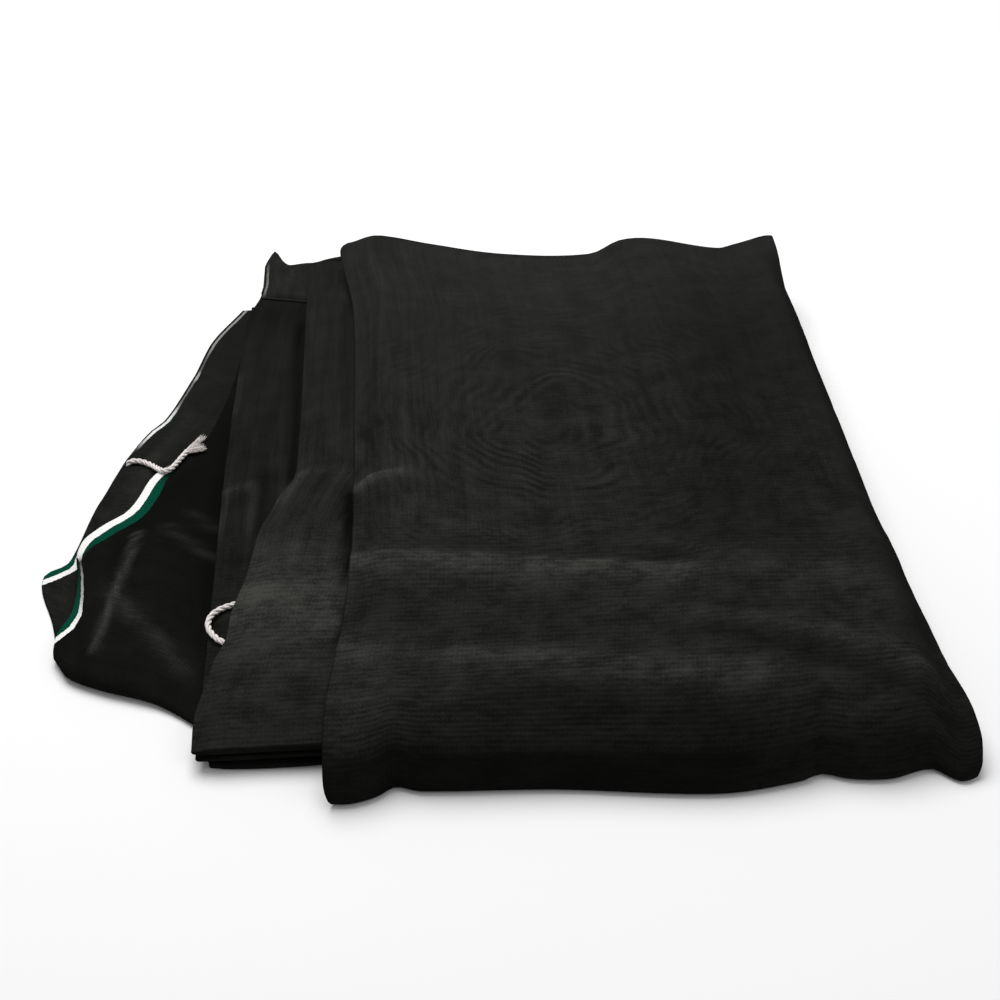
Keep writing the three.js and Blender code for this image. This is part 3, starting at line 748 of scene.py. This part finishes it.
def side_vectors(line):
    """Two unit vectors across a line at each of its points, with no twist along it."""
    tangents = unit(np.gradient(line, axis=0))
    side = unit(np.cross(tangents[0], UP))
    sides = []
    for tangent in tangents:
        side = unit(side - tangent * side.dot(tangent))
        sides.append(side)
    sides = np.array(sides)
    return sides, np.cross(tangents, sides)


def tube(line, radii, sides):
    """Vertices, faces and (round, along) values of a closed tube of varying radius about a line."""
    across, up = side_vectors(line)
    angle = 2 * np.pi * np.arange(sides)[:, None] / sides
    ring = across[:, None] * np.cos(angle) + up[:, None] * np.sin(angle)
    vertices = (line[:, None] + ring * np.asarray(radii)[:, None, None]).reshape(-1, 3)
    round_share = np.arange(sides) / sides
    uv = np.stack(np.broadcast_arrays(round_share, line_run(line)[:, None]), -1).reshape(-1, 2)
    corner = np.arange(len(vertices)).reshape(-1, sides)
    beside = np.roll(corner, -1, axis=1)
    quads = np.stack([corner[:-1], beside[:-1], beside[1:], corner[1:]], -1).reshape(-1, 4)
    return vertices, [*quads.tolist(), corner[0, ::-1].tolist(), corner[-1].tolist()], uv


def joined_tubes(name, tubes, material):
    """One object of several tubes."""
    vertices, tube_faces, uvs = zip(*tubes)
    starts = np.cumsum([0, *map(len, vertices)]).tolist()
    faces = [[start + i for i in face] for start, part in zip(starts, tube_faces) for face in part]
    mesh = bpy.data.meshes.new(name)
    mesh.from_pydata(np.concatenate(vertices).tolist(), [], faces)
    return finished(name, mesh, "yarn", np.concatenate(uvs), material)


def make_rope(name, route, material):
    """A rope of twisted strands along a route, its line and its length."""
    line, length = route_line(route)
    across, up = side_vectors(line)
    strand_radius = STRAND_SHARE * 0.5 * CORD_DIAMETER
    helix_radius = 0.5 * CORD_DIAMETER - strand_radius
    run = np.linspace(0, length, len(line))
    strands = []
    for k in range(CORD_STRANDS):
        angle = (2 * np.pi * (run / CORD_LAY + k / CORD_STRANDS))[:, None]
        centre = line + helix_radius * (across * np.cos(angle) + up * np.sin(angle))
        strands.append(tube(centre, np.full(len(line), strand_radius), STRAND_SIDES))
    return joined_tubes(name, strands, material), line, length


def make_fray(name, route, material):
    """The frayed end: fibres that leave the cord's end in locks and spread towards their tips."""
    line, _ = route_line(route)
    tangent = unit(line[-1] - line[-FRAY_END])
    root = line[-1] - FIBRE_ROOT * tangent
    share = np.linspace(0, 1, FIBRE_STEPS)[:, None]
    random = np.random.default_rng(FRAY_SEED)
    fibres = []
    for heading, reach, count, spread in FRAY_LOCKS:
        direction = unit(np.array(heading))
        side = unit(np.cross(direction, UP))
        up = np.cross(side, direction)
        bend = lerp(tangent, direction, np.minimum(1, FRAY_BEND * share))
        width = FRAY_ROOT * CORD_DIAMETER * (1 - share) + spread * share**FRAY_OPENING
        for _ in range(count):
            turn, far = random.uniform(0, 2 * np.pi), math.sqrt(random.uniform(0, 1))
            offset = far * (math.cos(turn) * side + math.sin(turn) * up)
            length = reach * random.uniform(*FIBRE_LENGTHS)
            wave = FIBRE_WAVE * np.sin(share * random.uniform(*FIBRE_WAVES) + turn) * share
            path = root + bend * share * (length + FIBRE_ROOT) + offset * width + wave * side
            path[:, 2] = np.maximum(path[:, 2] - FIBRE_SAG * share[:, 0] ** 2, FRAY_LOWEST)
            fibres.append(tube(path, FIBRE_RADIUS * lerp(*FIBRE_TAPER, share[:, 0]), FIBRE_SIDES))
    return joined_tubes(name, fibres, material)


# Materials
MIX_INPUTS = (0, 6, 7)  # the mix node's sockets for the factor and two colours
MIX_OUTPUT = 2


class Shader:
    """Adds nodes to one material."""

    def __init__(self, name):
        self.material = bpy.data.materials.new(name)
        self.material.use_nodes = True
        self.tree = self.material.node_tree
        self.surface = self.tree.nodes["Principled BSDF"]

    def put(self, socket, value):
        """Links a socket to another one, or gives it a value."""
        if isinstance(value, bpy.types.NodeSocket):
            self.tree.links.new(value, socket)
        else:
            socket.default_value = value

    def fill(self, node, inputs):
        for name, value in inputs.items():
            self.put(node.inputs[name], value)
        return node

    def add(self, kind, **inputs):
        return self.fill(self.tree.nodes.new(kind), inputs)

    def math(self, operation, *values, clamp=False):
        node = self.tree.nodes.new("ShaderNodeMath")
        node.operation = operation
        node.use_clamp = clamp
        for socket, value in zip(node.inputs, values):
            self.put(socket, value)
        return node.outputs[0]

    def times(self, a, b, plus=0.0, clamp=False):
        """The product of two values, plus a third."""
        return self.math("MULTIPLY_ADD", a, b, plus, clamp=clamp)

    def weighted(self, values, weights):
        """Sum of the named values that have a weight."""
        result = 0.0
        for name, weight in weights.items():
            result = self.times(values[name], weight, result)
        return result

    def wave(self, place, pitch):
        """A sine wave from -1 to 1 along a place."""
        return self.math("SINE", self.times(place, 2 * math.pi / pitch))

    def noise(self, place, scales, detail):
        """Noise from about -1 to 1 over the two values of a place, each times its scale."""
        x, y = (self.times(value, scale) for value, scale in zip(place, scales))
        spot = self.add("ShaderNodeCombineXYZ", X=x, Y=y).outputs[0]
        node = self.add("ShaderNodeTexNoise", Vector=spot, Scale=1.0, Detail=detail)
        return self.times(node.outputs[0], 4.0, -2.0)

    def streaks(self, place, crosswise, weft, warp, detail):
        """Streaks along the weft by the share crosswise, and along the warp by the rest."""
        lengthwise = self.math("SUBTRACT", 1.0, crosswise)
        along_warp = self.times(self.noise(place, warp, detail), lengthwise)
        return self.times(self.noise(place, weft, detail), crosswise, along_warp)

    def mix(self, factor, a, b):
        """A colour between two."""
        node = self.tree.nodes.new("ShaderNodeMix")
        node.data_type = "RGBA"
        for socket, value in zip(MIX_INPUTS, (factor, a, b)):
            self.put(node.inputs[socket], value)
        return node.outputs[MIX_OUTPUT]

    def parts(self, vector):
        return self.add("ShaderNodeSeparateXYZ", Vector=vector).outputs

    def uv(self, name):
        node = self.tree.nodes.new("ShaderNodeUVMap")
        node.uv_map = name
        return self.parts(node.outputs[0])[:2]

    def attribute(self, name):
        node = self.tree.nodes.new("ShaderNodeAttribute")
        node.attribute_name = name
        return node.outputs

    def bump(self, height, distance, strength):
        node = self.add("ShaderNodeBump", Strength=strength, Distance=distance, Height=height)
        self.put(self.surface.inputs["Normal"], node.outputs[0])


# Looks of the net, whose plain cloth has a tone of 1. A noise is its cells a metre each way, and its detail.
NET_BLACK = (0.0046, 0.0046, 0.0043, 1)
NET_PALE = (0.05, 0.0507, 0.046, 1)
PALE_TONE = 4  # the tone that is fully pale
STRIPE_WHITE = (0.93, 0.92, 0.9, 1)
STRIPE_GREEN = (0.003, 0.058, 0.034, 1)
STRIPE_DARK = 0.8  # a stripe's tone between its threads
STRIPE_THREADS = (0.35, 0.65)  # swing and middle of its threads' wave
BAND_OVERLAP = 0.0001
WARP = {"pitch": 0.0034, "drift": 0.0008}
WEFT = {"pitch": 0.0042, "drift": 0.0012}
THREAD_DRIFT = ((9, 30), 1.0)
FINE_STREAKS = {"weft": (95, 230), "warp": (190, 14), "detail": 1.5}
BROAD_STREAKS = {"weft": (24, 62), "warp": (70, 6), "detail": 2.0}
BLOTCHES = ((36, 40), 3.0)
GRAIN = ((480, 430), 2.0)
RING_DRIFT = ((13, 13), 1.0)
RING_GAPS = ((30, 30), 1.0)
RING_SHOWN = (0.8, 0.4)  # swing and middle of the gaps' noise
EDGE_WOBBLE = ((500, 160), 1.0)
EDGE_WOBBLE_SIZE = 0.0003
PLIES = 5  # lines along a folded rim
WEAVE = {"weft": 1.0, "crossing": 0.5, "warp": 0.4}
TEXTURE = {"fine": 0.36, "broad": 0.42, "blotches": 0.42, "grain": 0.3, "weave": 0.15, "rings": 0.52}
TEXTURE_LEAST = -0.5
NET_RELIEF = {"weave": 0.3, "fine": 0.25, "plies": 1.6}
NET_BUMP = {"distance": 0.0005, "strength": 0.7}
NET_ROUGHNESS = (0.05, 0.62)  # swing with the grain and middle


def net_material():
    """Black woven net: weave, streaks along the threads, faint rings, painted light and shade on layers,
    creases, front turns and the drape's foot, and edge stripes.
    """
    shader = Shader("net_weave")
    cloth = shader.uv("cloth")
    crosswise, strength, _ = shader.parts(shader.attribute("threads")["Vector"])
    drift = shader.noise(cloth, *THREAD_DRIFT)
    warp, weft = (shader.wave(shader.times(drift, thread["drift"], place), thread["pitch"])
                  for place, thread in zip(cloth, (WARP, WEFT)))
    weave = {"weft": shader.times(weft, crosswise), "warp": warp, "crossing": shader.times(weft, warp)}
    looks = {
        "weave": shader.weighted(weave, WEAVE),
        "fine": shader.streaks(cloth, crosswise, **FINE_STREAKS),
        "broad": shader.streaks(cloth, crosswise, **BROAD_STREAKS),
        "blotches": shader.noise(cloth, *BLOTCHES),
        "grain": shader.noise(cloth, *GRAIN),
        "rings": ring_pattern(shader, cloth),
        "plies": shader.math("ABSOLUTE", shader.wave(shader.attribute("rim")["Fac"], 2 / PLIES)),
    }
    texture = shader.math("MAXIMUM", shader.weighted(looks, TEXTURE), TEXTURE_LEAST)
    # Painted light and shade: the layers' tones, the creases' painted highlights and shadows, the shaded
    # front turns and the drape's darker foot
    shade = shader.math("ADD", shader.attribute("painted_shading")["Fac"], 1.0)
    tone = shader.times(shade, shader.times(texture, strength, 1.0))
    colour = shader.mix(shader.times(tone, 1 / PALE_TONE, clamp=True), NET_BLACK, NET_PALE)

    wobble, from_edge = shader.noise(cloth, *EDGE_WOBBLE), shader.attribute("from_edge")["Fac"]
    place = shader.math("MAXIMUM", shader.times(wobble, EDGE_WOBBLE_SIZE, from_edge), 0.0)
    for band, stripe in [("green_band", STRIPE_GREEN), ("white_band", STRIPE_WHITE)]:
        colour = shader.mix(band_mask(shader, place, band), colour, thread_tone(shader, stripe, weft))
    shader.bump(shader.weighted(looks, NET_RELIEF), **NET_BUMP)
    roughness = shader.times(looks["grain"], *NET_ROUGHNESS)
    shader.fill(shader.surface, {"Base Color": colour, "Roughness": roughness, "Specular IOR Level": 0.0})
    return shader.material


def ring_pattern(shader, cloth):
    """Faint broken rings, as strong as the net's rings attribute says."""
    dx, dy, strength = shader.parts(shader.attribute("rings")["Vector"])
    away = shader.math("SQRT", shader.times(dx, dx, shader.times(dy, dy)))
    away = shader.times(shader.noise(cloth, *RING_DRIFT), RINGS["drift"] * MM, away)
    shown = shader.times(shader.noise(cloth, *RING_GAPS), *RING_SHOWN, clamp=True)
    rings = shader.times(shader.wave(away, RINGS["pitch"] * MM), shown)
    return shader.times(rings, strength)


def band_mask(shader, place, name):
    """A band's strength inside it, and 0 elsewhere."""
    low, high, strength = shader.parts(shader.attribute(name)["Vector"])
    above = shader.math("GREATER_THAN", place, shader.math("SUBTRACT", low, BAND_OVERLAP))
    below = shader.math("LESS_THAN", place, high)
    return shader.times(shader.times(above, below), strength)


def thread_tone(shader, colour, wave):
    """A stripe's colour, a little darker between its threads."""
    dark = tuple(STRIPE_DARK * c for c in colour[:3]) + (1,)
    return shader.mix(shader.times(wave, *STRIPE_THREADS), dark, colour)


# Looks of the cords, whose places are the share round a strand or fibre and the metres along it
CORD_PALE = (0.94, 0.9, 0.88, 1)
CORD_DEEP = (0.62, 0.54, 0.51, 1)
YARN_LAY = 0.0045
YARN_PLIES = 5
YARN_SPECKS = ((9, 900), 2.0)
YARN_TONE = 0.72
YARN_TEXTURE = {"plies": 0.14, "specks": 0.12}
YARN_RELIEF = {"plies": 0.6, "specks": 0.4}
YARN_BUMP = {"distance": 0.0002, "strength": 0.8}
YARN_SURFACE = {"Roughness": 0.7, "Specular IOR Level": 0.3, "Sheen Weight": 0.2}
FIBRE_SPECKS = ((3, 300), 2.0)
FIBRE_TONE = (0.25, 0.75)  # swing with the specks and middle
FIBRE_ROUGHNESS = 0.6


def cord_material():
    """Off-white twisted yarn with fine fibres."""
    shader = Shader("cord_yarn")
    yarn = shader.uv("yarn")
    turns = shader.times(yarn[1], 1 / YARN_LAY, shader.times(yarn[0], YARN_PLIES))
    looks = {"plies": shader.wave(turns, 1.0), "specks": shader.noise(yarn, *YARN_SPECKS)}
    tone = shader.math("ADD", shader.weighted(looks, YARN_TEXTURE), YARN_TONE, clamp=True)
    shader.bump(shader.weighted(looks, YARN_RELIEF), **YARN_BUMP)
    shader.fill(shader.surface, {"Base Color": shader.mix(tone, CORD_DEEP, CORD_PALE), **YARN_SURFACE})
    return shader.material


def fibre_material():
    """The same yarn's loose fibres."""
    shader = Shader("cord_fibre")
    specks = shader.noise(shader.uv("yarn"), *FIBRE_SPECKS)
    tone = shader.times(specks, *FIBRE_TONE, clamp=True)
    colour = shader.mix(tone, CORD_DEEP, CORD_PALE)
    shader.fill(shader.surface, {"Base Color": colour, "Roughness": FIBRE_ROUGHNESS})
    return shader.material


# Stage
STAGE_HALF = 8.0  # half of the floor's side
STAGE_SURFACE = {"Base Color": (0.93, 0.93, 0.93, 1), "Roughness": 0.9, "Specular IOR Level": 0.0}
LIGHTS = [("key", (-0.35, 1.1, 2.6), 2.2, 80), ("fill", (1.4, -0.9, 2.0), 1.6, 5)]  # name, place, size, power
WORLD = {"Color": (1, 1, 1, 1), "Strength": 0.3}


def make_camera():
    data = bpy.data.cameras.new("camera")
    data.lens = CAMERA_LENS
    data.sensor_width = CAMERA_SENSOR
    camera = add_object("camera", data)
    camera.location = CAMERA_PLACE
    camera.rotation_euler = (math.radians(90 - CAMERA_PITCH), 0, math.radians(-CAMERA_HEADING))
    bpy.context.scene.camera = camera


def make_light(name, place, size, power):
    """A round lamp that points at the origin."""
    data = bpy.data.lights.new(name, "AREA")
    data.shape = "DISK"
    data.size = size
    data.energy = power
    light = add_object(name, data)
    light.location = place
    light.rotation_euler = (-Vector(place)).to_track_quat("-Z", "Y").to_euler()


def make_stage():
    """The white floor, the lights and the world."""
    shader = Shader("floor_white")
    shader.fill(shader.surface, STAGE_SURFACE)
    mesh = bpy.data.meshes.new("floor")
    corners = [(x * STAGE_HALF, y * STAGE_HALF, 0) for x, y in [(-1, -1), (1, -1), (1, 1), (-1, 1)]]
    mesh.from_pydata(corners, [], [(0, 1, 2, 3)])
    mesh.materials.append(shader.material)
    add_object("floor", mesh)
    for light in LIGHTS:
        make_light(*light)
    world = bpy.context.scene.world or bpy.data.worlds.new("world")
    bpy.context.scene.world = world
    world.use_nodes = True
    for name, value in WORLD.items():
        world.node_tree.nodes["Background"].inputs[name].default_value = value
    bpy.context.scene.view_settings.view_transform = "Standard"


make_camera()
cord_look = cord_material()
tie, tie_line, tie_length = make_rope("tie_rope", TIE_ROUTE, cord_look)
fray = make_fray("tie_fibres", TIE_ROUTE, fibre_material())
loop, loop_line, loop_length = make_rope("loop_rope", LOOP_ROUTE, cord_look)
net, net_area, net_length = make_net("net_folded", net_material())
make_stage()

for piece, node, slot in [(net, "net", "net"), (tie, "tie_cord", "cord"), (fray, "tie_fray", "cord"),
                          (loop, "tie_loop", "cord")]:
    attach(piece, "root")
    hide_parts(node)
